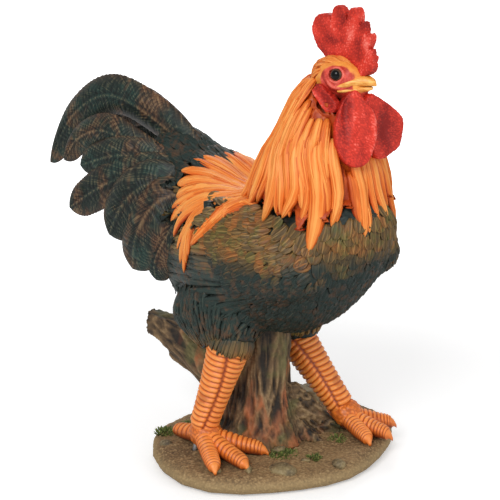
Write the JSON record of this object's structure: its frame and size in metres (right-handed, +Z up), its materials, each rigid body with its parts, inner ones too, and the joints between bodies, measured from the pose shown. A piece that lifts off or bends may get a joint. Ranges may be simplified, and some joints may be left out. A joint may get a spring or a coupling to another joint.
{
  "type": "rooster figurine",
  "caption": "Painted cast-resin garden rooster standing astride a tree stump on an oval of ground, with felt under the base.",
  "frame": {"origin": "middle of the underside of the felt under the base, where the figurine rests", "axes": "+X the way the bird faces, +Y its left side, +Z up"},
  "size_m": [0.3944, 0.2211, 0.4013],
  "materials": {
    "ground_paint": "gritty painted resin",
    "moss_paint": "rough painted resin",
    "bark_paint": "ridged painted resin",
    "leg_paint": "satin painted resin",
    "dark_plumage_paint": "satin painted resin",
    "breast_paint": "dry-brushed painted resin",
    "orange_plumage_paint": "satin painted resin",
    "red_flesh_paint": "pebbled satin painted resin",
    "beak_paint": "satin painted resin",
    "eye_gloss": "glossy black",
    "rod_steel": "plain drawn rod",
    "felt": "short felt"
  },
  "bodies": {
    "root": {"felt_sheet": "felt", "ground_base": "ground_paint", "set_stones": "ground_paint", "moss_tufts": "moss_paint", "stump": "bark_paint", "rear_branch": "bark_paint", "right_shank": "leg_paint", "left_shank": "leg_paint", "right_foot": "leg_paint", "left_foot": "leg_paint", "right_leg_rod": "rod_steel", "left_leg_rod": "rod_steel", "torso": "breast_paint", "right_thigh": "dark_plumage_paint", "left_thigh": "dark_plumage_paint", "right_wing": "breast_paint", "left_wing": "breast_paint", "saddle": "orange_plumage_paint", "hackle": "orange_plumage_paint", "head": "red_flesh_paint", "upper_beak": "beak_paint", "lower_beak": "beak_paint", "comb": "red_flesh_paint", "right_wattle": "red_flesh_paint", "left_wattle": "red_flesh_paint", "right_earlobe": "red_flesh_paint", "left_earlobe": "red_flesh_paint", "right_eye": "eye_gloss", "left_eye": "eye_gloss", "tail_root": "dark_plumage_paint", "right_sickle": "dark_plumage_paint", "left_sickle": "dark_plumage_paint", "right_lesser_sickle": "dark_plumage_paint", "left_lesser_sickle": "dark_plumage_paint", "right_tail_fan": "dark_plumage_paint", "left_tail_fan": "dark_plumage_paint"}
  },
  "joints": []
}
